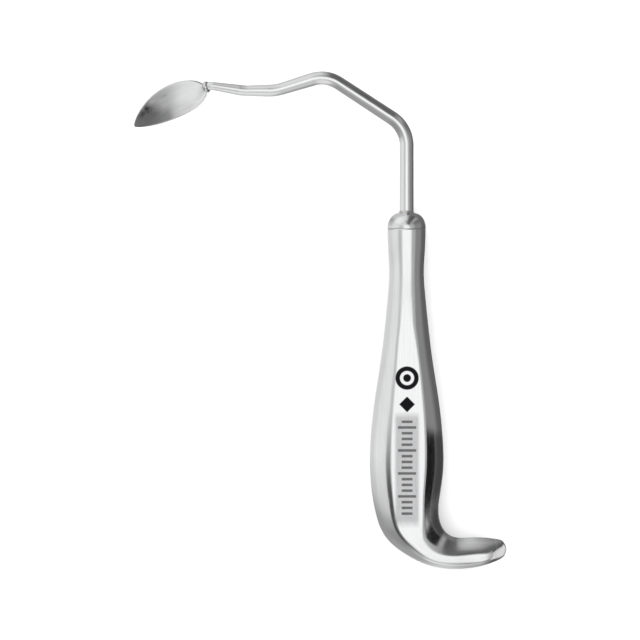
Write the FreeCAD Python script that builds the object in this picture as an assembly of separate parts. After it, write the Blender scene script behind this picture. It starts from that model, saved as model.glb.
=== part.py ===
"""Cheek retractor: a hollow hooked grip, a bent round shank and a dished leaf blade.

The instrument lies on its side. +Z points up out of the table, +Y runs along the grip towards
the shank, and +X points towards the finger hook. The origin is the centre of the flat side
panel that it rests on. All lengths are millimetres.
"""

import FreeCAD, Part
import math
import os

from FreeCAD import Vector

# Driving dimensions -------------------------------------------------------------------------

PANEL_GAP = 15.0  # grip thickness between its two flat side panels
MID_Z = PANEL_GAP / 2  # height of the seam between the two grip shells
WALL = 1.2  # sheet thickness of the grip shells

# Grip stations from the neck to the end of the hook: the point on the back outline, the point
# on the front outline, the half thickness, how far the back and the front flank reach in to
# the side panel, and the angle that a flank turns through. 90 degrees blends a flank into its
# panel; less leaves a ridge.
GRIP_STATIONS = (
    ((-6.35, 74.0), (6.35, 74.0), 6.35, 5.4, 5.4, 90),
    ((-6.10, 67.0), (6.10, 67.0), 6.10, 5.1, 5.1, 88),
    ((-5.75, 60.5), (5.75, 60.5), 6.05, 4.5, 4.4, 84),
    ((-6.25, 52.0), (6.25, 52.0), 6.75, 4.4, 4.3, 76),
    ((-7.35, 41.0), (7.35, 41.0), 7.55, 4.7, 4.9, 68),
    ((-8.80, 29.5), (8.80, 29.5), 7.80, 5.6, 5.2, 62),
    ((-10.60, 18.0), (10.60, 18.0), 7.85, 6.7, 6.0, 58),
    ((-12.00, 5.0), (12.00, 5.0), 7.90, 7.5, 6.8, 56),
    ((-12.20, -6.0), (12.20, -5.0), 7.90, 7.6, 7.1, 56),
    ((-10.70, -18.5), (11.10, -14.0), 7.90, 7.0, 6.6, 57),
    ((-6.90, -28.2), (10.60, -20.0), 7.75, 5.0, 6.3, 58),
    ((-0.60, -33.6), (11.60, -24.3), 7.40, 3.1, 7.2, 60),
    ((7.30, -37.4), (14.00, -27.2), 6.90, 1.8, 7.1, 62),
    ((15.80, -38.6), (17.90, -28.3), 6.30, 1.5, 5.9, 64),
    ((23.60, -37.9), (23.60, -28.1), 5.60, 1.3, 5.4, 68),
    ((29.30, -36.2), (28.60, -28.5), 4.75, 1.5, 4.2, 76),
    ((31.70, -35.0), (31.00, -28.9), 3.55, 2.3, 2.8, 88),
    ((32.80, -33.6), (32.30, -29.8), 2.15, 1.6, 1.7, 90),
    ((33.20, -32.3), (33.00, -31.0), 0.75, 0.5, 0.5, 90),
)
FLANK_POINTS = 6  # points that shape each curved flank

END_PLUG_AT = Vector(29.9, -32.4, MID_Z)  # joint between the hook and its end plug
END_PLUG_DIRECTION = Vector(1.0, 0.12, 0.0)
END_PLUG_SPIGOT = 4.0
WELD_WIDTH = 0.6  # every ground-flush weld bead on the grip

NECK_Y = 74.0  # where the shells end and the ferrule starts
FERRULE_TOP_Y = 79.6
FERRULE_RADIUS = 6.35
FERRULE_SPIGOT_RADIUS = 4.4
FERRULE_SPIGOT_Y = 65.0
FERRULE_TOP_LAND = 0.35  # flat ring left round the shank on top of the dome
DOME_STEP = 10  # degrees between the points that shape the dome

SHANK_RADIUS = 2.3
TANG_END_Y = 35.0
CROSS_PIN_RADIUS = 1.0
CROSS_PIN_Y = 69.0
SUPPORT_DISC_Y = 37.0
SUPPORT_DISC_THICKNESS = 2.0

BRAZE_WIDTH = 0.85  # leg of the fillet round the shank on the ferrule
BRAZE_HEIGHT = 1.0

# Corners of the shank's centre line after the straight stretch, the bend radius at each, and
# the shank's radius from that bend on.
SHANK_CORNERS = (
    (Vector(0.0, 108.1, MID_Z), 11.0, 2.30),
    (Vector(-26.7, 125.6, 7.1), 10.5, 2.20),
    (Vector(-43.6, 120.4, 6.8), 16.0, 2.00),
    (Vector(-54.2, 120.4, 6.6), 20.0, 1.75),
    (Vector(-65.1, 122.1, 6.46), 4.5, 1.35),
)

BLADE_ROOT = Vector(-66.9, 121.6, 5.86)
BLADE_TIP = Vector(-90.8, 108.6, 4.96)
BLADE_ROLL = 32.0  # degrees that the dished face turns towards the grip
BLADE_HALF_WIDTH = 6.3
BLADE_BOW = 3.6  # depth of the lengthways curve
BLADE_DISH = 1.4  # depth of the crossways curve
BLADE_THICKNESS = 1.3
BLADE_FIRST, BLADE_LAST = 0.012, 0.992  # ends of the lofted leaf, as shares of its length
LEAF_RISE, LEAF_FALL = 0.52, 0.75  # exponents of the leaf outline at its root and its tip
ROOT_SWELL, ROOT_SWELL_SHARE = 0.6, 0.08  # extra thickness at the root, and how soon it fades
TIP_THICKNESS, TIP_TAPER = 0.35, 3.0  # thickness left at the tip, and how fast it grows from it
RIM_ROUNDNESS = 0.7  # exponent of the section's thickness: 1 is an ellipse, less is blunter
BLADE_SECTIONS = 17
BLADE_SECTION_POINTS = 24
BLADE_WELD_RADIUS = 1.85
BLADE_WELD_LENGTH = 1.5

FAR = 200.0  # larger than the instrument


# Helpers ------------------------------------------------------------------------------------


def unit(vector):
    """The vector at length 1."""
    return vector * (1.0 / vector.Length)


def half_space(point, direction):
    """A large box whose near face holds the point, reaching away along the direction."""
    box = Part.makeBox(FAR, FAR, FAR, Vector(-FAR / 2, -FAR / 2, 0))
    turn = FreeCAD.Rotation(Vector(0, 0, 1), direction)
    box.Placement = FreeCAD.Placement(point, turn)
    return box


def slab(point, direction, thickness):
    """The space between two parallel planes, the first through the point."""
    box = Part.makeBox(FAR, FAR, thickness, Vector(-FAR / 2, -FAR / 2, 0))
    turn = FreeCAD.Rotation(Vector(0, 0, 1), direction)
    box.Placement = FreeCAD.Placement(point, turn)
    return box


def turned(profile):
    """A solid of revolution about the grip's axis, from (radius, y) points."""
    points = [Vector(radius, y, MID_Z) for radius, y in profile]
    face = Part.Face(Part.makePolygon(points + points[:1]))
    return face.revolve(Vector(0, 0, MID_Z), Vector(0, 1, 0), 360)


def rod_along_y(radius, start_y, end_y):
    """A round bar on the grip's axis."""
    return Part.makeCylinder(radius, end_y - start_y, Vector(0, start_y, MID_Z), Vector(0, 1, 0))


# Grip ---------------------------------------------------------------------------------------


def grip_section(station, inset):
    """The closed outline across the grip at one station, drawn inwards by the inset."""
    back, front, half_thickness, back_flank, front_flank, flank_angle = station
    back, front = Vector(*back), Vector(*front)
    across = unit(front - back)
    centre = (back + front) * 0.5 + Vector(0, 0, MID_Z)
    half_width = (front - back).Length / 2 - inset
    height = half_thickness - inset
    shrink = height / half_thickness
    flank_widths = {-1: back_flank * shrink, 1: front_flank * shrink}
    last = math.radians(flank_angle)

    def point(side, level, share):
        """A point on a flank: share 0 is the seam and share 1 is the panel's edge."""
        angle = last * share
        reach = (math.cos(angle) - math.cos(last)) / (1 - math.cos(last))
        out = half_width - flank_widths[side] * (1 - reach)
        rise = height * math.sin(angle) / math.sin(last)
        return centre + across * (side * out) + Vector(0, 0, level * rise)

    def flank(side, level, upwards):
        """The curved edge from the seam to the panel, or back down."""
        shares = [i / (FLANK_POINTS - 1) for i in range(FLANK_POINTS)]
        if not upwards:
            shares.reverse()
        curve = Part.BSplineCurve()
        curve.interpolate([point(side, level, share) for share in shares])
        return curve.toShape()

    edges = [
        flank(1, 1, True),
        Part.makeLine(point(1, 1, 1), point(-1, 1, 1)),
        flank(-1, 1, False),
        flank(-1, -1, True),
        Part.makeLine(point(-1, -1, 1), point(1, -1, 1)),
        flank(1, -1, False),
    ]
    return Part.Wire(edges)


def grip_volume(inset):
    """The whole grip as a closed volume, with its two side panels cut flat."""
    wires = [grip_section(station, inset) for station in GRIP_STATIONS[: -1 if inset else None]]
    volume = Part.makeLoft(wires, True, False)
    between_panels = slab(Vector(0, 0, inset), Vector(0, 0, 1), PANEL_GAP - 2 * inset)
    return volume.common(between_panels)


def grip_parts():
    """The two pressed shells, the bead along their seam, and the hook's end plug with its bead."""
    outer = grip_volume(0.0)
    inner = grip_volume(WALL)
    direction = unit(END_PLUG_DIRECTION)
    beyond = half_space(END_PLUG_AT, direction)
    bead = slab(END_PLUG_AT - direction * WELD_WIDTH, direction, WELD_WIDTH)
    spigot_zone = slab(END_PLUG_AT - direction * END_PLUG_SPIGOT, direction, END_PLUG_SPIGOT)
    spigot = inner.common(spigot_zone)
    sheet = outer.cut(inner).cut(beyond).cut(bead)
    seam = slab(Vector(0, 0, MID_Z - WELD_WIDTH / 2), Vector(0, 0, 1), WELD_WIDTH)
    upper = half_space(Vector(0, 0, MID_Z + WELD_WIDTH / 2), Vector(0, 0, 1))
    lower = half_space(Vector(0, 0, MID_Z - WELD_WIDTH / 2), Vector(0, 0, -1))
    return {
        "handle_shell_upper": sheet.common(upper),
        "handle_shell_lower": sheet.common(lower),
        "seam_weld": sheet.common(seam),
        "hook_end_plug": outer.common(beyond).fuse(spigot).removeSplitter(),
        "hook_plug_weld": outer.common(bead).cut(spigot),
        "tang_support_disc": support_disc(inner),
    }


def support_disc(inner):
    """The plate inside the grip that holds the end of the tang on the axis."""
    zone = slab(Vector(0, SUPPORT_DISC_Y, 0), Vector(0, 1, 0), SUPPORT_DISC_THICKNESS)
    tang_hole = rod_along_y(SHANK_RADIUS, TANG_END_Y, NECK_Y)
    return inner.common(zone).cut(tang_hole)


# Neck ---------------------------------------------------------------------------------------


def ferrule_parts():
    """The domed ferrule, its weld to the shells, the cross pin, and the two brazed joints."""
    shoulder_y = NECK_Y + WELD_WIDTH
    dome_height = FERRULE_TOP_Y - shoulder_y
    top_radius = SHANK_RADIUS + FERRULE_TOP_LAND
    dome_width = FERRULE_RADIUS - top_radius
    steps = [math.radians(angle) for angle in range(0, 91, DOME_STEP)]
    dome = [
        (top_radius + dome_width * math.cos(a), shoulder_y + dome_height * math.sin(a))
        for a in steps
    ]
    spigot = [
        (SHANK_RADIUS, FERRULE_TOP_Y),
        (SHANK_RADIUS, FERRULE_SPIGOT_Y),
        (FERRULE_SPIGOT_RADIUS, FERRULE_SPIGOT_Y),
        (FERRULE_SPIGOT_RADIUS, shoulder_y),
    ]
    pin = Part.makeCylinder(
        CROSS_PIN_RADIUS,
        2 * FERRULE_SPIGOT_RADIUS,
        Vector(-FERRULE_SPIGOT_RADIUS, CROSS_PIN_Y, MID_Z),
        Vector(1, 0, 0),
    )
    ferrule = turned(dome + spigot).cut(pin)
    weld = rod_along_y(FERRULE_RADIUS, NECK_Y, shoulder_y)
    weld = weld.cut(rod_along_y(FERRULE_SPIGOT_RADIUS, NECK_Y, shoulder_y))
    fillet = [
        (SHANK_RADIUS, FERRULE_TOP_Y - BRAZE_HEIGHT / 2),
        (SHANK_RADIUS + BRAZE_WIDTH, FERRULE_TOP_Y - BRAZE_HEIGHT / 2),
        (SHANK_RADIUS + BRAZE_WIDTH / 3, FERRULE_TOP_Y + BRAZE_HEIGHT / 4),
        (SHANK_RADIUS, FERRULE_TOP_Y + BRAZE_HEIGHT),
    ]
    tang_fillet = [
        (SHANK_RADIUS, SUPPORT_DISC_Y),
        (SHANK_RADIUS + 2 * BRAZE_WIDTH, SUPPORT_DISC_Y),
        (SHANK_RADIUS, SUPPORT_DISC_Y - 2 * BRAZE_WIDTH),
    ]
    return {
        "ferrule": ferrule,
        "ferrule_weld": weld,
        "tang_cross_pin": pin,
        "shank_braze": turned(fillet).cut(ferrule),
        "tang_braze": turned(tang_fillet),
    }


# Shank --------------------------------------------------------------------------------------


def blade_frame():
    """The blade's chord length, and its unit vectors: lengthways, across and out of its face."""
    chord = BLADE_TIP - BLADE_ROOT
    along = unit(chord)
    level_across = unit(Vector(0, 0, 1).cross(along))
    level_face = along.cross(level_across)
    roll = math.radians(BLADE_ROLL)
    face = level_face * math.cos(roll) + level_across * math.sin(roll)
    across = face.cross(along)
    return chord.Length, along, across, face


def root_direction():
    """The way the blade's middle line points at its root."""
    length, along, _, face = blade_frame()
    return unit(along - face * (4 * BLADE_BOW / length))


def cone_between(start, end, start_radius, end_radius):
    """A straight run of the shank, tapered if its two radii differ."""
    run = end - start
    if start_radius == end_radius:
        return Part.makeCylinder(start_radius, run.Length, start, run)
    return Part.makeCone(start_radius, end_radius, run.Length, start, run)


def bend(corner, before, after, bend_radius, rod_radius):
    """The arc at a corner as a solid, with the points where it starts and ends."""
    angle = before.getAngle(after)
    leg = bend_radius * math.tan(angle / 2)
    start = corner - before * leg
    end = corner + after * leg
    axis = unit(before.cross(after))
    centre = start + unit(axis.cross(before)) * bend_radius
    ring = Part.Face(Part.Wire(Part.makeCircle(rod_radius, start, before)))
    return ring.revolve(centre, axis, math.degrees(angle)), start, end


def shank_solid(cross_pin):
    """The round bar, from the tang's end to the blade: straight runs joined by tangent arcs."""
    corners = [corner for corner, _, _ in SHANK_CORNERS]
    end_point = BLADE_ROOT - root_direction() * (BLADE_WELD_LENGTH / 2)
    route = [Vector(0, TANG_END_Y, MID_Z)] + corners + [end_point]
    pieces = []
    here, here_radius = route[0], SHANK_RADIUS
    for i, (corner, bend_radius, rod_radius) in enumerate(SHANK_CORNERS, start=1):
        before = unit(corner - route[i - 1])
        after = unit(route[i + 1] - corner)
        arc, start, end = bend(corner, before, after, bend_radius, rod_radius)
        pieces += [cone_between(here, start, here_radius, rod_radius), arc]
        here, here_radius = end, rod_radius
    pieces.append(cone_between(here, end_point, here_radius, here_radius))
    bar = pieces[0]
    for piece in pieces[1:]:
        bar = bar.fuse(piece)
    return bar.cut(cross_pin)


# Blade --------------------------------------------------------------------------------------


def leaf_half_width(share):
    """Half the leaf's width at a share of its length from the root."""
    widest = LEAF_RISE / (LEAF_RISE + LEAF_FALL)
    peak = widest**LEAF_RISE * (1 - widest) ** LEAF_FALL
    return BLADE_HALF_WIDTH * share**LEAF_RISE * (1 - share) ** LEAF_FALL / peak


def blade_section(share):
    """The thin curved outline across the blade at a share of its length."""
    length, along, across, face = blade_frame()
    half_width = leaf_half_width(share)
    dish = BLADE_DISH * (half_width / BLADE_HALF_WIDTH) ** 2
    swell = 1 + ROOT_SWELL * math.exp(-share / ROOT_SWELL_SHARE)
    taper = min(1.0, TIP_THICKNESS + TIP_TAPER * (1 - share))
    half_thickness = min(BLADE_THICKNESS / 2 * swell * taper, half_width)
    depth = 4 * BLADE_BOW * share * (1 - share)
    middle = BLADE_ROOT + along * (share * length) - face * depth
    points = []
    for step in range(BLADE_SECTION_POINTS):
        angle = math.tau * step / BLADE_SECTION_POINTS
        side = half_width * math.cos(angle)
        lift = dish * math.cos(angle) ** 2
        skin = half_thickness * math.copysign(abs(math.sin(angle)) ** RIM_ROUNDNESS, math.sin(angle))
        points.append(middle + across * side + face * (lift + skin))
    curve = Part.BSplineCurve()
    curve.interpolate(points, PeriodicFlag=True)
    return Part.Wire(curve.toShape())


def blade_solid():
    """The dished leaf, lofted from its root to its tip."""
    half_span = (BLADE_LAST - BLADE_FIRST) / 2
    turns = [math.pi * i / (BLADE_SECTIONS - 1) for i in range(BLADE_SECTIONS)]
    shares = [BLADE_FIRST + half_span * (1 - math.cos(turn)) for turn in turns]
    return Part.makeLoft([blade_section(share) for share in shares], True, False)


def blade_weld_solid(shank, blade):
    """The bead that joins the shank's end to the blade's root."""
    direction = root_direction()
    start = BLADE_ROOT - direction * BLADE_WELD_LENGTH
    bead = Part.makeSphere(BLADE_WELD_RADIUS, start + direction * BLADE_WELD_LENGTH / 2)
    zone = slab(start, direction, 2 * BLADE_WELD_LENGTH)
    return bead.common(zone).cut(shank).cut(blade)


# Files --------------------------------------------------------------------------------------


def main():
    """Builds every piece and writes one STEP file for each."""
    parts = grip_parts()
    parts.update(ferrule_parts())
    parts["shank"] = shank_solid(parts["tang_cross_pin"])
    parts["blade"] = blade_solid()
    parts["blade_weld"] = blade_weld_solid(parts["shank"], parts["blade"])
    os.makedirs("parts", exist_ok=True)
    for name, shape in parts.items():
        shape.exportStep(f"parts/{name}.step")
        box = shape.BoundBox
        print(
            f"{name}: {len(shape.Solids)} solid(s), valid {shape.isValid()}, "
            f"{shape.Volume:.1f} mm3, z {box.ZMin:.3f} to {box.ZMax:.3f}"
        )


main()
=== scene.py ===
"""Looks of the cheek retractor: the grip, shank and blade as smooth polished steel, in a small
white studio. Lengths are given in millimetres and turned into metres where meshes are made.
"""

import math

import bmesh
import bpy
import numpy as np
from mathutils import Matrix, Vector


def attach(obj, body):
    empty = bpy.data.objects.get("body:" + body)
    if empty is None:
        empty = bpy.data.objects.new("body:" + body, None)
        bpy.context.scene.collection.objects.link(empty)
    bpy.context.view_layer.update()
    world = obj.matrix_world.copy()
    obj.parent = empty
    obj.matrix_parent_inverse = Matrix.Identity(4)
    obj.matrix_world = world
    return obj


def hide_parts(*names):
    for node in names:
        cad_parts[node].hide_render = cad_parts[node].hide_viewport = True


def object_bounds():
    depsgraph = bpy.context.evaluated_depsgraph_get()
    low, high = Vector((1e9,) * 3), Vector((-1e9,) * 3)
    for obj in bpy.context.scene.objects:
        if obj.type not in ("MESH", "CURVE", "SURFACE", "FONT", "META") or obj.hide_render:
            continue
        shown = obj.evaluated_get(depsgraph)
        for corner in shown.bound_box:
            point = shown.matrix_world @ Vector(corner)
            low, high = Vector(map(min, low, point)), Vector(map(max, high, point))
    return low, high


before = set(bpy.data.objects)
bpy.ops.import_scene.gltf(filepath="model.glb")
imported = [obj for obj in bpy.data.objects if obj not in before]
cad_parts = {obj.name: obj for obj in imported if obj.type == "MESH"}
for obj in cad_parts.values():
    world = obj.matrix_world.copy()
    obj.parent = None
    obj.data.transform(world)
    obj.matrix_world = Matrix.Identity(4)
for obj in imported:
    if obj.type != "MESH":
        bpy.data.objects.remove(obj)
cad_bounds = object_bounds()

MM = 0.001

# Driving dimensions, the same as the CAD model's ----------------------------------------------

PANEL_GAP = 15.0  # grip thickness between its two flat side panels
MID_Z = PANEL_GAP / 2  # height of the seam between the two grip shells
WALL = 1.2
WELD_WIDTH = 0.6

# Grip stations from the neck to the end of the hook: back x, back y, front x, front y, half
# thickness, how far the back and the front flank reach in to the side panel, and the angle in
# degrees that a flank turns through.
GRIP_STATIONS = np.array((
    (-6.35, 74.0, 6.35, 74.0, 6.35, 5.4, 5.4, 90),
    (-6.10, 67.0, 6.10, 67.0, 6.10, 5.1, 5.1, 88),
    (-5.75, 60.5, 5.75, 60.5, 6.05, 4.5, 4.4, 84),
    (-6.25, 52.0, 6.25, 52.0, 6.75, 4.4, 4.3, 76),
    (-7.35, 41.0, 7.35, 41.0, 7.55, 4.7, 4.9, 68),
    (-8.80, 29.5, 8.80, 29.5, 7.80, 5.6, 5.2, 62),
    (-10.60, 18.0, 10.60, 18.0, 7.85, 6.7, 6.0, 58),
    (-12.00, 5.0, 12.00, 5.0, 7.90, 7.5, 6.8, 56),
    (-12.20, -6.0, 12.20, -5.0, 7.90, 7.6, 7.1, 56),
    (-10.70, -18.5, 11.10, -14.0, 7.90, 7.0, 6.6, 57),
    (-6.90, -28.2, 10.60, -20.0, 7.75, 5.0, 6.3, 58),
    (-0.60, -33.6, 11.60, -24.3, 7.40, 3.1, 7.2, 60),
    (7.30, -37.4, 14.00, -27.2, 6.90, 1.8, 7.1, 62),
    (15.80, -38.6, 17.90, -28.3, 6.30, 1.5, 5.9, 64),
    (23.60, -37.9, 23.60, -28.1, 5.60, 1.3, 5.4, 68),
    (29.30, -36.2, 28.60, -28.5, 4.75, 1.5, 4.2, 76),
    (31.70, -35.0, 31.00, -28.9, 3.55, 2.3, 2.8, 88),
    (32.80, -33.6, 32.30, -29.8, 2.15, 1.6, 1.7, 90),
    (33.20, -32.3, 33.00, -31.0, 0.75, 0.5, 0.5, 90),
))
FRONT_SOFTENING = 0.50  # how far the polishing wheel has rounded the front ridges
NECK_SOFTENING = 1.10  # the same where the grip is nearly round
BACK_SOFTENING = 1.25
END_PLUG_X = 29.6  # where the hook's end plug starts on its middle line

NECK_Y = 74.0
FERRULE_TOP_Y = 79.6
FERRULE_RADIUS = 6.35
FERRULE_LIP = 0.35  # flat left round the shank on top of the dome
FERRULE_SPIGOT_RADIUS = 4.4
FERRULE_SPIGOT_Y = 65.0
GROOVE_DEPTH = 0.10  # how far the ferrule's ring weld is ground below its neighbours

SHANK_RADIUS = 2.3
TANG_END_Y = 35.0
# Each corner of the shank's middle line, its bend radius, and the shank's radius after it.
SHANK_CORNERS = (
    ((0.0, 108.1, MID_Z), 11.0, 2.30),
    ((-26.7, 125.6, 7.1), 10.5, 2.20),
    ((-43.6, 120.4, 6.8), 16.0, 2.00),
    ((-54.2, 120.4, 6.6), 20.0, 1.75),
    ((-65.1, 122.1, 6.46), 4.5, 1.35),
)
BRAZE_WIDTH = 0.85
BRAZE_HEIGHT = 1.0
BRAZE_FOOT, BRAZE_SINK = 0.1, 0.12  # how far under the ferrule's top its inside and outside start

BLADE_ROOT = np.array((-66.9, 121.6, 5.86))
BLADE_TIP = np.array((-90.8, 108.6, 4.96))
BLADE_ROLL = 32.0  # degrees that the dished face turns towards the grip
BLADE_HALF_WIDTH = 6.3
BLADE_BOW = 3.6  # how far the middle line lies behind the chord
BLADE_DISH = 1.4  # how far the rim stands over the middle line
BLADE_THICKNESS = 1.3
BLADE_FIRST, BLADE_LAST = 0.012, 0.992  # shares of the chord between which the leaf is built
LEAF_RISE, LEAF_FALL = 0.52, 0.75  # how fast the leaf widens from its root and narrows to its tip
ROOT_SWELL, ROOT_SWELL_LENGTH = 0.6, 0.08  # the thicker root, and how soon that dies away
TIP_THICKNESS, TIP_THICKENING = 0.35, 3  # share of the thickness at the tip, and its rise from there
RIM_ROUNDNESS, SKIN_ROUNDNESS = 0.8, 0.6  # powers that shape the leaf's cross-section
BLADE_WELD_RADIUS = 1.85
BLADE_WELD_LENGTH = 1.5

# Mesh helpers ---------------------------------------------------------------------------------


def unit(vector):
    """The vector at length 1."""
    return vector / np.linalg.norm(vector)


def cubic_through(knots, rows, at):
    """Natural cubic spline through the rows at the knots, read at the given places."""
    steps = np.diff(knots)
    slopes = np.diff(rows, axis=0) / steps[:, None]
    count = len(knots)
    matrix = np.eye(count)
    right = np.zeros_like(rows)
    for i in range(1, count - 1):
        matrix[i, i - 1 : i + 2] = steps[i - 1], 2 * (steps[i - 1] + steps[i]), steps[i]
        right[i] = 6 * (slopes[i] - slopes[i - 1])
    bend = np.linalg.solve(matrix, right)
    i = np.clip(np.searchsorted(knots, at) - 1, 0, count - 2)
    step = steps[i][:, None]
    ahead = (at - knots[i])[:, None] / step
    behind = 1 - ahead
    line = rows[i] * behind + rows[i + 1] * ahead
    curve = (behind**3 - behind) * bend[i] + (ahead**3 - ahead) * bend[i + 1]
    return line + curve * step**2 / 6


def evenly(points, count, closed=False):
    """The line resampled to evenly spaced points."""
    if closed:
        points = np.vstack([points, points[:1]])
    gaps = np.linalg.norm(np.diff(points, axis=0), axis=1)
    points = points[np.r_[True, gaps > 1e-9]]
    along = np.r_[0, np.cumsum(np.linalg.norm(np.diff(points, axis=0), axis=1))]
    places = np.linspace(0, along[-1], count, endpoint=not closed)
    return np.column_stack([np.interp(places, along, points[:, k]) for k in range(points.shape[1])])


def soften_loop(points, radius):
    """A closed, evenly spaced outline with its corners rounded off."""
    spacing = np.linalg.norm(points[1] - points[0])
    reach = max(1, int(3 * radius / spacing))
    offsets = np.arange(-reach, reach + 1)
    weights = np.exp(-0.5 * (offsets * spacing / radius) ** 2)
    weights /= weights.sum()
    return sum(w * np.roll(points, int(k), axis=0) for k, w in zip(offsets, weights))


def ring_faces(rows, columns, closed, joined=False):
    """Quads between a grid's rows, which may be closed loops; joined links the last to the first."""
    faces = []
    for i in range(rows if joined else rows - 1):
        a, b = i * columns, (i + 1) % rows * columns
        for j in range(columns if closed else columns - 1):
            k = (j + 1) % columns
            faces.append((a + j, a + k, b + k, b + j))
    return faces


def make_piece(name, points, faces, grain, material, nodes, sharp=40):
    """A closed mesh piece in place of CAD nodes, with its polishing direction stored on it.

    grain gives each vertex coordinates in millimetres whose third one runs along the polish.
    """
    mesh = bpy.data.meshes.new(name)
    mesh.from_pydata((np.asarray(points) * MM).tolist(), [], faces)
    work = bmesh.new()
    work.from_mesh(mesh)
    bmesh.ops.recalc_face_normals(work, faces=work.faces)
    work.to_mesh(mesh)
    work.free()
    mesh.shade_smooth()
    mesh.set_sharp_from_angle(angle=math.radians(sharp))
    stored = mesh.attributes.new("grain", "FLOAT_VECTOR", "POINT")
    stored.data.foreach_set("vector", np.asarray(grain, dtype=np.float32).ravel())
    piece = bpy.data.objects.new(name, mesh)
    bpy.context.scene.collection.objects.link(piece)
    mesh.materials.append(material)
    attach(piece, "root")
    if nodes:
        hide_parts(*nodes)
    return piece


def tube_mesh(rings):
    """Points and faces of a closed tube made of loops of equal length, with flat ends."""
    rows, columns = len(rings), len(rings[0])
    points = np.concatenate(rings)
    faces = ring_faces(rows, columns, closed=True)
    faces.append(tuple(range(columns)))
    faces.append(tuple(range((rows - 1) * columns, rows * columns)))
    return points, faces


def lathe_piece(name, profile, material, nodes, origin=None, axis=None, sides=96, sharp=40):
    """A closed ring turned about an axis, by default the grip's, from (radius, place) points."""
    origin = np.array((0.0, 0.0, MID_Z)) if origin is None else origin
    axis = np.array((0.0, 1.0, 0.0)) if axis is None else axis
    side = unit(np.cross(axis, (0.0, 0.0, 1.0)))
    up = np.cross(side, axis)
    points, grain = [], []
    for radius, place in profile:
        for i in range(sides):
            angle = math.tau * i / sides
            points.append(origin + axis * place + (side * math.cos(angle) + up * math.sin(angle)) * radius)
            grain.append((radius, place, 0.0))
    faces = ring_faces(len(profile), sides, closed=True, joined=True)
    return make_piece(name, points, faces, grain, material, nodes, sharp)


# Grip -----------------------------------------------------------------------------------------

SEAM_POINTS = 320  # points round one outline of the grip
TIP_LENGTH = 4.8  # the domed end of the hook, which has closer outlines
TIP_ROWS = 61
ROW_STEP = 0.6  # from one outline to the next over the rest of the grip
CAP_POINTS = 121  # points across one shell
FLANK_POINTS = 60
SOFTENING_ROOM = 0.12  # the most that a ridge is softened, as a share of the half thickness
BACK_FLANK_ROOM = 0.35  # the same at the back, as a share of the back flank
ROUND_FROM, ROUND_SPAN = 62, 22  # flank angle where roundness starts, and degrees until it is full
SEAM_REACH = 6  # outline points on each side of the seam that a bead is read from
SEAM_COLUMNS = 9  # points across a seam bead


def grip_outline(half_width, height, back_flank, front_flank, flank_angle):
    """The grip's closed outline, (out, up) from the front seam over the top to the back seam."""
    last = math.radians(flank_angle)
    angles = np.linspace(0, last, FLANK_POINTS)
    inset = (1 - np.cos(angles)) / (1 - math.cos(last))
    rise = height * np.sin(angles) / math.sin(last)
    front = np.column_stack([half_width - front_flank * inset, rise])
    back = np.column_stack([back_flank * inset - half_width, rise])
    upper = np.vstack([front, back[::-1]])
    whole = np.vstack([upper, upper[-2:0:-1] * (1, -1)])
    whole[:, 1] = np.clip(whole[:, 1], -MID_Z, MID_Z)
    loop = evenly(whole, SEAM_POINTS, closed=True)
    room = SOFTENING_ROOM * height
    roundness = np.clip((flank_angle - ROUND_FROM) / ROUND_SPAN, 0, 1)
    front_softening = FRONT_SOFTENING + (NECK_SOFTENING - FRONT_SOFTENING) * roundness
    crisp = soften_loop(loop, min(front_softening, room))
    soft = soften_loop(loop, min(BACK_SOFTENING, room, BACK_FLANK_ROOM * back_flank))
    towards_front = np.clip(0.5 + crisp[:, :1] / half_width, 0, 1)
    return soft + (crisp - soft) * towards_front


def grip_rings():
    """Closed outlines of the grip in space from the neck to the tip, with their distances along."""
    middle = (GRIP_STATIONS[:, 0:2] + GRIP_STATIONS[:, 2:4]) / 2
    knots = np.r_[0, np.cumsum(np.linalg.norm(np.diff(middle, axis=0), axis=1))]
    tip_start = knots[-1] - TIP_LENGTH
    places = np.r_[np.arange(0, tip_start, ROW_STEP), np.linspace(tip_start, knots[-1], TIP_ROWS)]
    rings, normals = [], []
    for bx, by, fx, fy, height, back, front, flank in cubic_through(knots, GRIP_STATIONS, places):
        across = np.array((fx - bx, fy - by, 0.0))
        half_width = np.linalg.norm(across) / 2
        across = unit(across)
        centre = np.array(((bx + fx) / 2, (by + fy) / 2, MID_Z))
        flat = grip_outline(half_width, height, back, front, min(flank, 90.0))
        tangent = np.roll(flat, -1, axis=0) - np.roll(flat, 1, axis=0)
        outward = np.column_stack([tangent[:, 1], -tangent[:, 0]])
        outward /= np.linalg.norm(outward, axis=1)[:, None]
        up = np.array((0.0, 0.0, 1.0))
        rings.append(centre + flat[:, :1] * across + flat[:, 1:] * up)
        normals.append(outward[:, :1] * across + outward[:, 1:] * up)
    return np.array(rings), np.array(normals), places


GRIP_RINGS, GRIP_NORMALS, GRIP_PLACES = grip_rings()


def shell_strip(ring, normal, low):
    """A ring's upper side from a height over the seam, as outer and inner lines of points."""
    half = SEAM_POINTS // 2 + 1
    line, out = ring[:half], normal[:half]
    height = line[:, 2] - MID_Z
    keep = height > low
    first, last = np.argmax(keep), half - np.argmax(keep[::-1]) - 1
    share_first = (low - height[first - 1]) / (height[first] - height[first - 1])
    share_last = (low - height[last + 1]) / (height[last] - height[last + 1])
    start = line[first - 1] + (line[first] - line[first - 1]) * share_first
    end = line[last + 1] + (line[last] - line[last + 1]) * share_last
    both = np.hstack([
        np.vstack([start, line[first : last + 1], end]),
        np.vstack([out[first - 1], out[first : last + 1], out[last + 1]]),
    ])
    both = evenly(both, CAP_POINTS)
    outer, direction = both[:, :3], both[:, 3:]
    direction[[0, -1], 2] = 0.0
    direction /= np.linalg.norm(direction, axis=1)[:, None]
    return outer, outer - direction * WALL


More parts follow.
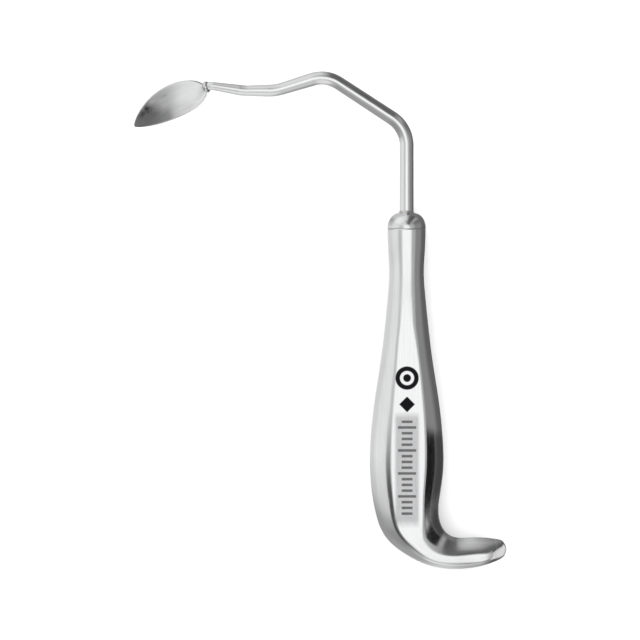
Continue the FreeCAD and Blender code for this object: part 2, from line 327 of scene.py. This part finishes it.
def rows_between(start, end):
    """Which grip rings lie between two distances along it."""
    return [i for i, place in enumerate(GRIP_PLACES) if start - 1e-6 <= place <= end + 1e-6]


def plug_distance():
    """The distance along the grip at which the hook's end plug starts."""
    middle = GRIP_RINGS.mean(axis=1)[:, 0]
    hook = middle > END_PLUG_X / 2  # leaves out the straight part, where x doesn't rise
    return float(np.interp(END_PLUG_X, middle[hook], GRIP_PLACES[hook]))


def shell_piece(name, node, material, mirrored=False):
    """One pressed half shell: outer skin, inner skin, and the cut edges between them."""
    rows = rows_between(0.0, plug_distance() - WELD_WIDTH)
    outer, inner = zip(*(shell_strip(GRIP_RINGS[i], GRIP_NORMALS[i], WELD_WIDTH / 2) for i in rows))
    outer, inner = np.array(outer), np.array(inner)
    if mirrored:
        outer[..., 2] = PANEL_GAP - outer[..., 2]
        inner[..., 2] = PANEL_GAP - inner[..., 2]
    count = len(rows) * CAP_POINTS
    faces = ring_faces(len(rows), CAP_POINTS, closed=False)
    faces += [tuple(count + v for v in face) for face in faces]
    for j in (0, CAP_POINTS - 1):
        for i in range(len(rows) - 1):
            a, b = i * CAP_POINTS + j, (i + 1) * CAP_POINTS + j
            faces.append((a, b, count + b, count + a))
    for i in (0, len(rows) - 1):
        for j in range(CAP_POINTS - 1):
            a = i * CAP_POINTS + j
            faces.append((a, a + 1, count + a + 1, count + a))
    points = np.concatenate([outer.reshape(-1, 3), inner.reshape(-1, 3)])
    grain = grip_grain(outer, rows, 2)
    return make_piece(name, points, faces, grain, material, [node])


def grip_grain(grid, rows, copies):
    """Polishing coordinates on the grip: across, up, and along its middle line."""
    middle = GRIP_RINGS.mean(axis=1)
    grain = np.empty_like(grid)
    for row, i in enumerate(rows):
        across = unit(GRIP_RINGS[i][0] - GRIP_RINGS[i][SEAM_POINTS // 2])
        grain[row, :, 0] = (grid[row] - middle[i]) @ across
        grain[row, :, 1] = grid[row, :, 2]
        grain[row, :, 2] = GRIP_PLACES[i]
    return np.concatenate([grain.reshape(-1, 3)] * copies)


def seam_piece(material):
    """The two ground-flush weld beads that close the seam, along the back and the front edge."""
    rows = rows_between(0.0, plug_distance() - WELD_WIDTH)
    half = SEAM_POINTS // 2
    columns = SEAM_COLUMNS
    points, faces, grain = [], [], []
    for middle_index in (0, half):
        base = len(points)
        for i in rows:
            ring, normal = GRIP_RINGS[i], GRIP_NORMALS[i]
            around = [(middle_index + k) % SEAM_POINTS for k in range(-SEAM_REACH, SEAM_REACH + 1)]
            line = np.hstack([ring[around], normal[around]])
            line = line[np.argsort(line[:, 2])]
            heights = np.linspace(MID_Z - WELD_WIDTH / 2, MID_Z + WELD_WIDTH / 2, columns)
            bead = np.column_stack([np.interp(heights, line[:, 2], line[:, k]) for k in range(6)])
            level_out = bead[:, 3:] * (1, 1, 0)
            level_out /= np.linalg.norm(level_out, axis=1)[:, None]
            outer, inner = bead[:, :3], bead[:, :3] - level_out * WALL
            points += list(outer) + list(inner[::-1])
            grain += [(0.0, z, GRIP_PLACES[i]) for z in heights] * 2
        loops = ring_faces(len(rows), 2 * columns, closed=True)
        loops.append(tuple(range(2 * columns)))
        loops.append(tuple(range((len(rows) - 1) * 2 * columns, len(rows) * 2 * columns)))
        faces += [tuple(base + v for v in face) for face in loops]
    return make_piece("seam_bead", points, faces, grain, material, ["seam_weld"])


def hook_end_pieces(plug_material, weld_material):
    """The domed plug in the end of the hook, and the ground ring weld that holds it."""
    start = plug_distance()
    bead_rows = rows_between(start - WELD_WIDTH, start)
    plug_rows = rows_between(start, GRIP_PLACES[-1])
    if bead_rows[-1] != plug_rows[0]:
        bead_rows.append(plug_rows[0])
    bead_rows = sorted(set([rows_between(0.0, start - WELD_WIDTH)[-1]] + bead_rows))
    for name, rows, node, material in (
        ("hook_weld_ring", bead_rows, "hook_plug_weld", weld_material),
        ("hook_plug", plug_rows, "hook_end_plug", plug_material),
    ):
        grid = GRIP_RINGS[rows]
        points, faces = tube_mesh(list(grid))
        grain = grip_grain(grid, rows, 1)
        make_piece(name, points, faces, grain, material, [node])


# Neck -----------------------------------------------------------------------------------------


def ferrule_pieces(steel, weld, braze):
    """The domed ferrule, its ring weld, and the fillet where the shank leaves it."""
    shoulder = NECK_Y + WELD_WIDTH
    top_radius = SHANK_RADIUS + FERRULE_LIP
    dome = [
        (
            top_radius + (FERRULE_RADIUS - top_radius) * math.cos(a),
            shoulder + (FERRULE_TOP_Y - shoulder) * math.sin(a),
        )
        for a in np.linspace(0, math.pi / 2, 25)
    ]
    inside = [
        (SHANK_RADIUS, FERRULE_TOP_Y),
        (SHANK_RADIUS, FERRULE_SPIGOT_Y),
        (FERRULE_SPIGOT_RADIUS, FERRULE_SPIGOT_Y),
        (FERRULE_SPIGOT_RADIUS, shoulder),
    ]
    lathe_piece("ferrule_dome", dome + inside, steel, ["ferrule"], sides=128)
    band = [(FERRULE_SPIGOT_RADIUS, NECK_Y)]
    for a in np.linspace(0, math.pi, 9):
        band.append((FERRULE_RADIUS - GROOVE_DEPTH * math.sin(a), NECK_Y + WELD_WIDTH * a / math.pi))
    band.append((FERRULE_SPIGOT_RADIUS, shoulder))
    lathe_piece("ferrule_weld_ring", band, weld, ["ferrule_weld"], sides=128)
    fillet = [(SHANK_RADIUS, FERRULE_TOP_Y - BRAZE_FOOT)]
    for a in np.linspace(0, math.pi / 2, 9):
        fillet.append((
            SHANK_RADIUS + BRAZE_WIDTH * (1 - math.sin(a)),
            FERRULE_TOP_Y - BRAZE_SINK + BRAZE_HEIGHT * (1 - math.cos(a)),
        ))
    lathe_piece("shank_braze_fillet", fillet, braze, ["shank_braze"])


# Shank ----------------------------------------------------------------------------------------


def blade_axes():
    """The blade's chord length, and its unit vectors: lengthways, across and out of its face."""
    chord = BLADE_TIP - BLADE_ROOT
    along = unit(chord)
    level_across = unit(np.cross((0.0, 0.0, 1.0), along))
    level_face = np.cross(along, level_across)
    roll = math.radians(BLADE_ROLL)
    face = level_face * math.cos(roll) + level_across * math.sin(roll)
    return np.linalg.norm(chord), along, np.cross(face, along), face


def root_direction():
    """The way the blade's middle line points at its root."""
    length, along, _, face = blade_axes()
    return unit(along - face * (4 * BLADE_BOW / length))


def shank_route():
    """Points along the shank's middle line with the radius at each: runs and tangent arcs."""
    corners = [np.array(corner) for corner, _, _ in SHANK_CORNERS]
    end = BLADE_ROOT - root_direction() * (BLADE_WELD_LENGTH / 2)
    route = [np.array((0.0, TANG_END_Y, MID_Z))] + corners + [end]
    points, radii = [route[0]], [SHANK_RADIUS]
    for i, (_, bend_radius, radius) in enumerate(SHANK_CORNERS, start=1):
        corner = route[i]
        before, after = unit(corner - route[i - 1]), unit(route[i + 1] - corner)
        angle = math.acos(np.clip(before @ after, -1, 1))
        inward = unit(after - before)
        centre = corner + inward * (bend_radius / math.cos(angle / 2))
        side = unit(np.cross(np.cross(before, after), before))
        for share in np.linspace(0, 1, 25):
            turn = angle * share
            points.append(
                centre - side * bend_radius * math.cos(turn) + before * bend_radius * math.sin(turn)
            )
            radii.append(radius)
    points.append(end)
    radii.append(radii[-1])
    return np.array(points), np.array(radii)


def shank_piece(material):
    """The bent round bar with its taper, as one smooth tube."""
    points, radii = shank_route()
    steps = np.r_[0, np.cumsum(np.linalg.norm(np.diff(points, axis=0), axis=1))]
    places = np.linspace(0, steps[-1], 520)
    line = np.column_stack([np.interp(places, steps, points[:, k]) for k in range(3)])
    radius = np.interp(places, steps, radii)
    sides = 72
    rings, grain = [], []
    tangents = np.gradient(line, axis=0)
    up = np.array((0.0, 0.0, 1.0))
    for centre, tangent, r, place in zip(line, tangents, radius, places):
        side = unit(np.cross(tangent, up))
        top = unit(np.cross(side, tangent))
        angles = np.linspace(0, math.tau, sides, endpoint=False)
        rings.append(centre + r * (np.cos(angles)[:, None] * side + np.sin(angles)[:, None] * top))
        grain += [(r * math.cos(a), r * math.sin(a), place) for a in angles]
    points, faces = tube_mesh(rings)
    return make_piece("shank_bar", points, faces, grain, material, ["shank"])


# Blade ----------------------------------------------------------------------------------------


def leaf_half_width(share):
    """Half the leaf's width at a share of its length from the root."""
    widest = LEAF_RISE / (LEAF_RISE + LEAF_FALL)
    peak = widest**LEAF_RISE * (1 - widest) ** LEAF_FALL
    return BLADE_HALF_WIDTH * share**LEAF_RISE * (1 - share) ** LEAF_FALL / peak


def blade_piece(material):
    """The dished leaf with its blunt, rounded rim."""
    length, along, across, face = blade_axes()
    rows, columns = 150, 128
    span = BLADE_LAST - BLADE_FIRST
    rings, grain = [], []
    for i in range(rows):
        share = BLADE_FIRST + span * (1 - math.cos(math.pi * i / (rows - 1))) / 2
        half_width = leaf_half_width(share)
        dish = BLADE_DISH * (half_width / BLADE_HALF_WIDTH) ** 2
        swell = 1 + ROOT_SWELL * math.exp(-share / ROOT_SWELL_LENGTH)
        thinning = min(1.0, TIP_THICKNESS + TIP_THICKENING * (1 - share))
        half_thickness = BLADE_THICKNESS / 2 * swell * thinning
        half_thickness = min(half_thickness, half_width)
        depth = 4 * BLADE_BOW * share * (1 - share)
        middle = BLADE_ROOT + along * (share * length) - face * depth
        angle = np.linspace(0, math.tau, columns, endpoint=False)
        side = half_width * np.sign(np.cos(angle)) * np.abs(np.cos(angle)) ** RIM_ROUNDNESS
        skin = half_thickness * np.sign(np.sin(angle)) * np.abs(np.sin(angle)) ** SKIN_ROUNDNESS
        lift = dish * (side / half_width) ** 2 + skin
        rings.append(middle + side[:, None] * across + lift[:, None] * face)
        grain += [(s, l, share * length) for s, l in zip(side, lift)]
    points, faces = tube_mesh(rings)
    return make_piece("blade_leaf", points, faces, grain, material, ["blade"], sharp=60)


def blade_weld_piece(material):
    """The small rounded bead between the shank and the blade's root."""
    direction = root_direction()
    start = BLADE_ROOT - direction * BLADE_WELD_LENGTH
    end_radius, fullness, stretch = 0.6, 0.7, 0.75
    profile = [(end_radius, 0.35)]
    for a in np.linspace(0.12, 0.88, 17) * math.pi:
        radius = BLADE_WELD_RADIUS * math.sin(a) ** fullness
        profile.append((radius, BLADE_WELD_LENGTH * (1 - math.cos(a)) * stretch))
    profile.append((end_radius, BLADE_WELD_LENGTH * 1.4))
    lathe_piece(
        "blade_weld_bead", profile, material, ["blade_weld"],
        origin=start, axis=direction, sides=48,
    )


# Materials ------------------------------------------------------------------------------------

STEEL = (0.865, 0.868, 0.874)
WELD_TONE = (0.80, 0.80, 0.80)
BRAZE_TONE = (0.72, 0.71, 0.69)
INNER_TONE = (0.55, 0.56, 0.57)
MARK_TONE = (0.016, 0.016, 0.018)
SATIN_TONE = (0.31, 0.31, 0.32)  # the finely blasted field under the bars

# The generic mark on the upper panel, in millimetres from the grip's axis and along it.
RING_Y, RING_RADIUS, RING_HALF_LINE, DOT_RADIUS = 24.9, 3.1, 0.75, 1.3
LOZENGE_Y, LOZENGE_REACH = 16.2, 2.6
BAR_STEP, BARS_TOP, BARS_END = 1.9, 10.9, -21.4
BAR_HALF_LINE, SHORT_BAR, LONG_BAR = 0.42, 1.8, 3.0
LONG_EVERY = 4  # every fourth bar is a long one
BAR_STRENGTH = 0.62
FIELD_HALF_WIDTH, FIELD_TOP = 3.9, 12.8


class Graph:
    """A node tree, with short ways to add nodes to it."""

    def __init__(self, tree):
        self.tree = tree

    def add(self, kind, **inputs):
        """A new node with its sockets set or linked by name; spaces are written as underscores."""
        node = self.tree.nodes.new(kind)
        for key, value in inputs.items():
            self.feed(node.inputs[key.replace("_", " ")], value)
        return node

    def feed(self, socket, value):
        """A link or a plain value into a socket."""
        if isinstance(value, bpy.types.NodeSocket):
            self.tree.links.new(value, socket)
        else:
            socket.default_value = value

    def math(self, operation, first, second=0.0, third=0.0, clamp=False):
        """The result of a Math node."""
        node = self.tree.nodes.new("ShaderNodeMath")
        node.operation = operation
        node.use_clamp = clamp
        for socket, value in zip(node.inputs, (first, second, third)):
            self.feed(socket, value)
        return node.outputs[0]

    def remap(self, value, low, high, to_low, to_high, smooth=False):
        """A value moved from one range to another, held inside it."""
        node = self.add(
            "ShaderNodeMapRange", Value=value, From_Min=low, From_Max=high, To_Min=to_low, To_Max=to_high
        )
        if smooth:
            node.interpolation_type = "SMOOTHSTEP"
        return node.outputs[0]

    def grey(self, tone):
        """A grey of the given tone."""
        return self.add("ShaderNodeCombineColor", Red=tone, Green=tone, Blue=tone).outputs[0]

    def mix(self, share, first, second, blend="MIX"):
        """Two colours blended."""
        node = self.tree.nodes.new("ShaderNodeMix")
        node.data_type = "RGBA"
        node.blend_type = blend
        self.feed(node.inputs["Factor"], share)
        self.feed(node.inputs[6], first)
        self.feed(node.inputs[7], second)
        return node.outputs[2]


class Shader(Graph):
    """A material's nodes round its surface shader."""

    def __init__(self, name):
        self.material = bpy.data.materials.new(name)
        self.material.use_nodes = True
        super().__init__(self.material.node_tree)
        self.bsdf = self.tree.nodes["Principled BSDF"]

    def stretched_noise(self, vector, scale, detail=3.0, roughness=0.5, turn=0.0):
        """Noise with its own scale along each of the vector's axes."""
        mapping = self.add("ShaderNodeMapping", Vector=vector, Scale=scale, Rotation=(0.0, turn, 0.0))
        noise = self.add(
            "ShaderNodeTexNoise", Vector=mapping.outputs[0], Scale=1.0, Detail=detail, Roughness=roughness
        )
        return noise.outputs["Fac"]

    def link(self, output, socket):
        """A link into one of the surface shader's sockets."""
        self.tree.links.new(output, self.bsdf.inputs[socket])


def polished_steel(name, colour, roughness, streaks, waviness, marks=None, own_grain=True):
    """Polished stainless steel: streaks along the polish, hairline scratches and handling haze."""
    shader = Shader(name)
    shader.bsdf.inputs["Metallic"].default_value = 1.0
    if own_grain:
        grain = shader.tree.nodes.new("ShaderNodeAttribute")
        grain.attribute_name = "grain"
        vector = grain.outputs["Vector"]
    else:
        place = shader.tree.nodes.new("ShaderNodeTexCoord")
        millimetres = (1000, 1000, 1000)
        mapping = shader.add("ShaderNodeMapping", Vector=place.outputs["Object"], Scale=millimetres)
        vector = mapping.outputs[0]
    fine = shader.stretched_noise(vector, (9.0, 9.0, 0.12), detail=4.0, roughness=0.65)
    broad = shader.stretched_noise(vector, (1.6, 1.6, 0.05), detail=3.0)
    haze = shader.stretched_noise(vector, (0.16, 0.16, 0.09), detail=5.0, roughness=0.6)
    hairs = [
        shader.remap(
            shader.stretched_noise(vector, (4.5, 4.5, 0.22), detail=1.0, turn=turn), 0.655, 0.70, 0.0, 1.0
        )
        for turn in (0.22, -0.35)
    ]
    hair = shader.math("MAXIMUM", *hairs)
    rough = shader.math("MULTIPLY_ADD", shader.remap(fine, 0.3, 0.7, -1.0, 1.0), streaks, roughness)
    rough = shader.math("ADD", rough, shader.remap(haze, 0.35, 0.7, -0.015, 0.05))
    rough = shader.math("MULTIPLY_ADD", hair, 0.08, rough, clamp=True)
    tone = shader.remap(broad, 0.3, 0.7, 0.965, 1.02)
    tone = shader.math("MULTIPLY", tone, shader.remap(haze, 0.3, 0.75, 1.0, 0.97))
    tint = shader.mix(1.0, (*colour, 1.0), shader.grey(tone), "MULTIPLY")
    if marks:
        mask, field = marks(shader)
        tint = shader.mix(shader.math("MULTIPLY", field, 0.5), tint, (*SATIN_TONE, 1.0))
        tint = shader.mix(mask, tint, (*MARK_TONE, 1.0))
        rough = shader.math("MULTIPLY_ADD", field, 0.16, rough)
        rough = shader.math("MULTIPLY_ADD", mask, 0.35, rough, clamp=True)
    shader.link(tint, "Base Color")
    shader.link(rough, "Roughness")
    wave = shader.stretched_noise(vector, (0.11, 0.11, 0.06), detail=2.0)
    relief = shader.math("MULTIPLY", wave, waviness)
    scratches = shader.math("ADD", fine, hair)
    lines = shader.add("ShaderNodeBump", Strength=0.12, Distance=0.00002, Height=scratches)
    swell = shader.add("ShaderNodeBump", Strength=1.0, Distance=0.001, Height=relief, Normal=lines.outputs[0])
    shader.link(swell.outputs[0], "Normal")
    return shader.material


def etched_marks(shader):
    """The generic mark on the upper panel: a ring with a dot, a lozenge and a row of bars."""
    place = shader.tree.nodes.new("ShaderNodeTexCoord")
    axes = shader.add("ShaderNodeSeparateXYZ", Vector=place.outputs["Object"])
    x = shader.math("MULTIPLY", axes.outputs["X"], 1 / MM)
    y = shader.math("MULTIPLY", axes.outputs["Y"], 1 / MM)
    across = shader.math("ABSOLUTE", x)

    def inside(value, edge, soft=0.12):
        """1 where the value is under the edge."""
        return shader.remap(value, edge - soft, edge + soft, 1.0, 0.0)

    def off(centre):
        """Distance along the grip from a place on it."""
        return shader.math("ABSOLUTE", shader.math("SUBTRACT", y, centre))

    from_ring = shader.math(
        "SQRT", shader.math("ADD", shader.math("MULTIPLY", x, x), shader.math("POWER", off(RING_Y), 2.0))
    )
    ring = inside(shader.math("ABSOLUTE", shader.math("SUBTRACT", from_ring, RING_RADIUS)), RING_HALF_LINE)
    dot = inside(from_ring, DOT_RADIUS)
    lozenge = inside(shader.math("ADD", across, off(LOZENGE_Y)), LOZENGE_REACH)
    half_step = BAR_STEP / 2
    above_zero = shader.math("ADD", y, 100 * BAR_STEP)  # the remainder needs a positive number
    phase = shader.math("MODULO", above_zero, BAR_STEP)
    bar = inside(shader.math("ABSOLUTE", shader.math("SUBTRACT", phase, half_step)), BAR_HALF_LINE)
    long_phase = shader.math("MODULO", above_zero, LONG_EVERY * BAR_STEP)
    is_long = inside(shader.math("ABSOLUTE", shader.math("SUBTRACT", long_phase, half_step)), half_step)
    reach = shader.remap(is_long, 0.0, 1.0, SHORT_BAR, LONG_BAR)
    within = inside(shader.math("SUBTRACT", across, reach), 0.0)
    over_end = shader.remap(y, BARS_END - 0.1, BARS_END + 0.1, 0.0, 1.0)
    column = shader.math("MULTIPLY", inside(y, BARS_TOP), over_end)
    strength = shader.math("MULTIPLY", column, BAR_STRENGTH)
    bars = shader.math("MULTIPLY", shader.math("MULTIPLY", bar, within), strength)
    marks = shader.math("MAXIMUM", shader.math("MAXIMUM", ring, dot), shader.math("MAXIMUM", lozenge, bars))
    field = shader.math("MULTIPLY", inside(across, FIELD_HALF_WIDTH, 0.5), inside(y, FIELD_TOP, 1.2))
    field = shader.math("MULTIPLY", field, shader.remap(y, BARS_END - 3.5, BARS_END - 0.8, 0.0, 1.0))
    return marks, field


# Pieces ---------------------------------------------------------------------------------------

grip_steel = polished_steel("grip_steel", STEEL, roughness=0.10, streaks=0.03, waviness=0.05)
marked_steel = polished_steel(
    "grip_steel_marked", STEEL, roughness=0.10, streaks=0.03, waviness=0.05, marks=etched_marks
)
shank_steel = polished_steel("shank_steel", STEEL, roughness=0.13, streaks=0.04, waviness=0.02)
blade_steel = polished_steel("blade_steel", STEEL, roughness=0.15, streaks=0.03, waviness=0.02)
turned_steel = polished_steel("turned_steel", STEEL, roughness=0.12, streaks=0.04, waviness=0.02)
plug_steel = polished_steel("plug_steel", STEEL, roughness=0.27, streaks=0.03, waviness=0.03)
weld_steel = polished_steel("weld_steel", WELD_TONE, roughness=0.20, streaks=0.05, waviness=0.05)
braze_alloy = polished_steel("braze_alloy", BRAZE_TONE, roughness=0.26, streaks=0.05, waviness=0.08)
inner_steel = polished_steel(
    "inner_steel", INNER_TONE, roughness=0.38, streaks=0.08, waviness=0.05, own_grain=False
)

shell_piece("grip_shell_upper", "handle_shell_upper", marked_steel)
shell_piece("grip_shell_lower", "handle_shell_lower", grip_steel, mirrored=True)
seam_piece(weld_steel)
hook_end_pieces(plug_steel, weld_steel)
ferrule_pieces(turned_steel, weld_steel, braze_alloy)
shank_piece(shank_steel)
blade_piece(blade_steel)
blade_weld_piece(weld_steel)

for node in ("tang_cross_pin", "tang_support_disc", "tang_braze"):
    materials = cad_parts[node].data.materials
    for i in range(len(materials)):
        materials[i] = braze_alloy if node == "tang_braze" else inner_steel

# Studio ---------------------------------------------------------------------------------------


def floor_material():
    """Plain pale card with the faintest mottle."""
    shader = Shader("floor_card")
    place = shader.tree.nodes.new("ShaderNodeTexCoord")
    mottle = shader.add("ShaderNodeTexNoise", Vector=place.outputs["Object"], Scale=35.0, Detail=4.0)
    tone = shader.remap(mottle.outputs["Fac"], 0.3, 0.7, 0.915, 0.93)
    shader.link(shader.grey(tone), "Base Color")
    shader.bsdf.inputs["Roughness"].default_value = 0.9
    shader.bsdf.inputs["Specular IOR Level"].default_value = 0.1
    return shader.material


def make_floor():
    """The table top. It stays out of the steel's reflections, which the world supplies."""
    mesh = bpy.data.meshes.new("floor")
    corners = [(x * FLOOR_HALF, y * FLOOR_HALF, 0) for x, y in ((-1, -1), (1, -1), (1, 1), (-1, 1))]
    mesh.from_pydata(corners, [], [(0, 1, 2, 3)])
    mesh.materials.append(floor_material())
    floor = bpy.data.objects.new("floor", mesh)
    bpy.context.scene.collection.objects.link(floor)
    floor.visible_glossy = False


# Brightness that the steel mirrors, by compass angle in degrees round the instrument: 0 is the
# hook's side of the grip, 90 is beyond the shank, and 180 is the back of the grip. The bands
# follow each other from high over the instrument down to below it.
OVERHEAD = 1.06
HIGH_BAND = (
    (-180, 0.60), (-170, 0.54), (-160, 0.42), (-140, 0.40), (-120, 0.52), (-90, 0.72), (-74, 0.58),
    (-57, 0.24), (-35, 0.20), (-12, 0.40), (0, 0.50), (30, 0.44), (45, 0.36), (60, 0.14), (76, 0.13),
    (92, 0.40), (112, 0.74), (140, 0.78), (165, 0.60), (180, 0.60),
)
SIDE_BAND = (
    (-180, 0.86), (-172, 0.74), (-163, 0.42), (-148, 0.30), (-130, 0.28), (-118, 0.50), (-106, 0.88),
    (-90, 0.84), (-62, 0.46), (-38, 0.12), (-4, 0.25), (14, 0.26), (34, 0.16), (47, 0.38), (60, 0.09),
    (76, 0.13), (86, 0.50), (92, 0.76), (100, 0.78), (125, 0.92), (145, 0.92), (160, 0.80), (180, 0.86),
)
LOW_BAND = (
    (-180, 0.74), (-172, 0.62), (-163, 0.36), (-150, 0.34), (-120, 0.38), (-92, 0.66), (-80, 0.46),
    (-64, 0.14), (-45, 0.07), (-4, 0.12), (14, 0.14), (36, 0.16), (62, 0.20), (76, 0.18), (86, 0.42),
    (92, 0.62), (100, 0.60), (130, 0.60), (150, 0.40), (164, 0.56), (174, 0.74), (180, 0.74),
)
# Each band fades in between two angles in degrees from straight up.
BAND_EDGES = ((HIGH_BAND, 11, 28), (SIDE_BAND, 38, 58), (LOW_BAND, 85, 115))
ROOM_LIGHT = 1.45  # the even light that falls on the floor
BACKDROP = 1.06  # what the camera sees behind the floor

# Studio cards near the grip, which only reflections see: name, brightness, and corners in mm.
CARDS = (
    ("flag_hook_side", 0.006, ((60, -26, 14), (60, 11, 14), (60, 11, 74), (60, -26, 74))),
    ("flag_hook_low", 0.06, ((60.5, -26, -55), (60.5, 11, -55), (60.5, 11, 24), (60.5, -26, 24))),
    ("card_hook_tip", 0.78, ((44, -52, -8), (44, -23, -8), (44, -23, 38), (44, -52, 38))),
)
CARD_FADE = (0.14, 0.16)  # how much of each side fades out
RIDGE_CARD_ROWS = slice(6, 14)  # the grip stations that the curved card follows
RIDGE_CARD_HEIGHT = 26.0
RIDGE_CARD_REACH = (2.5, 21.0)  # from the back ridge outwards
RIDGE_CARD_BRIGHTNESS = 0.07
RIDGE_CARD_FADE = (0.42, 0.32)
FLOOR_HALF = 4.0  # half the floor's width, in metres
VIEW_HEIGHT = 1.28  # how much the camera sees, as a share of the instrument's length


def studio_world():
    """A white surround for the camera and soft panels of light and dark for the reflections."""
    world = bpy.data.worlds.new("studio")
    bpy.context.scene.world = world
    world.use_nodes = True
    world.node_tree.nodes.clear()
    graph = Graph(world.node_tree)
    place = graph.add("ShaderNodeTexCoord")
    axes = graph.add("ShaderNodeSeparateXYZ", Vector=place.outputs["Generated"])
    compass = graph.math("ARCTAN2", axes.outputs["Y"], axes.outputs["X"])
    compass = graph.remap(compass, -math.pi, math.pi, 0.0, 1.0)
    polar = graph.math("ARCCOSINE", axes.outputs["Z"])
    light = graph.grey(OVERHEAD)
    for stops, start, end in BAND_EDGES:
        band = graph.add("ShaderNodeValToRGB", Fac=compass)
        data = band.color_ramp
        data.interpolation = "EASE"
        while len(data.elements) < len(stops):
            data.elements.new(0.5)
        for element, (angle, value) in zip(data.elements, stops):
            element.position = (angle + 180) / 360
            element.color = (value, value, value, 1.0)
        share = graph.remap(polar, math.radians(start), math.radians(end), 0.0, 1.0, smooth=True)
        light = graph.mix(share, light, band.outputs["Color"])
    rays = graph.add("ShaderNodeLightPath")
    light = graph.mix(rays.outputs["Is Glossy Ray"], graph.grey(ROOM_LIGHT), light)
    light = graph.mix(rays.outputs["Is Camera Ray"], light, graph.grey(BACKDROP))
    background = graph.add("ShaderNodeBackground", Color=light)
    output = graph.add("ShaderNodeOutputWorld")
    graph.tree.links.new(background.outputs[0], output.inputs["Surface"])


def card_material(name, brightness, fades):
    """A dull glow that fades out towards the card's edges."""
    material = bpy.data.materials.new(name)
    material.use_nodes = True
    material.node_tree.nodes.clear()
    graph = Graph(material.node_tree)
    place = graph.add("ShaderNodeUVMap")
    axes = graph.add("ShaderNodeSeparateXYZ", Vector=place.outputs["UV"])
    cover = 1.0
    for axis, fade in zip(("X", "Y"), fades):
        from_middle = graph.math("ABSOLUTE", graph.math("SUBTRACT", axes.outputs[axis], 0.5))
        side = graph.remap(from_middle, 0.5 - fade, 0.5, 1.0, 0.0, smooth=True)
        cover = graph.math("MULTIPLY", side, cover)
    glow = graph.add("ShaderNodeEmission", Color=(brightness, brightness, brightness, 1.0))
    clear = graph.add("ShaderNodeBsdfTransparent")
    both = graph.add("ShaderNodeMixShader", Fac=cover)
    graph.tree.links.new(clear.outputs[0], both.inputs[1])
    graph.tree.links.new(glow.outputs[0], both.inputs[2])
    output = graph.add("ShaderNodeOutputMaterial")
    graph.tree.links.new(both.outputs[0], output.inputs["Surface"])
    return material


def make_card(name, points, faces, places, material):
    """A studio card that only reflections see."""
    mesh = bpy.data.meshes.new(name)
    mesh.from_pydata([tuple(c * MM for c in point) for point in points], [], faces)
    layer = mesh.uv_layers.new(name="UVMap")
    for loop, uv in zip(mesh.loops, layer.data):
        uv.uv = places[loop.vertex_index]
    mesh.materials.append(material)
    card = bpy.data.objects.new(name, mesh)
    bpy.context.scene.collection.objects.link(card)
    card.visible_camera = False
    card.visible_diffuse = False
    card.visible_transmission = False
    card.visible_volume_scatter = False
    card.visible_shadow = False


def studio_cards():
    """Dark cards by the hook and along the back ridge, and a bright one off the hook's tip."""
    for name, brightness, corners in CARDS:
        material = card_material(name, brightness, CARD_FADE)
        make_card(name, corners, [(0, 1, 2, 3)], [(0, 0), (1, 0), (1, 1), (0, 1)], material)
    points, places = [], []
    stations = GRIP_STATIONS[RIDGE_CARD_ROWS]
    for row, (bx, by, fx, fy, _, back, _, _) in enumerate(stations):
        across = unit(np.array((fx - bx, fy - by)))
        ridge = np.array((bx, by)) + across * back
        for side, reach in enumerate(RIDGE_CARD_REACH):
            points.append((*(ridge - across * reach), RIDGE_CARD_HEIGHT))
            places.append((row / (len(stations) - 1), side))
    faces = [(i, i + 1, i + 3, i + 2) for i in range(0, len(points) - 2, 2)]
    material = card_material("flag_back_ridge", RIDGE_CARD_BRIGHTNESS, RIDGE_CARD_FADE)
    make_card("flag_back_ridge", points, faces, places, material)


def studio_lights():
    """One broad soft key light, kept out of the reflections."""
    data = bpy.data.lights.new("key", "SUN")
    data.energy = 0.8
    data.angle = math.radians(70)
    key = bpy.data.objects.new("key", data)
    bpy.context.scene.collection.objects.link(key)
    key.rotation_euler = Vector((-0.35, 0.3, 1.0)).to_track_quat("Z", "Y").to_euler()
    key.visible_glossy = False


def studio_camera():
    """A long lens looking straight down, with the whole instrument in view."""
    low, high = (Vector(corner) for corner in cad_bounds)
    centre = (low + high) / 2
    data = bpy.data.cameras.new("camera")
    data.lens = 250
    data.sensor_width = 36
    data.clip_end = 20
    camera = bpy.data.objects.new("camera", data)
    bpy.context.scene.collection.objects.link(camera)
    frame_height = VIEW_HEIGHT * (high.y - low.y)
    distance = frame_height * data.lens / data.sensor_width
    camera.location = (centre.x, centre.y, high.z + distance)
    bpy.context.scene.camera = camera


make_floor()
studio_world()
studio_cards()
studio_lights()
studio_camera()
bpy.context.scene.view_settings.view_transform = "Standard"
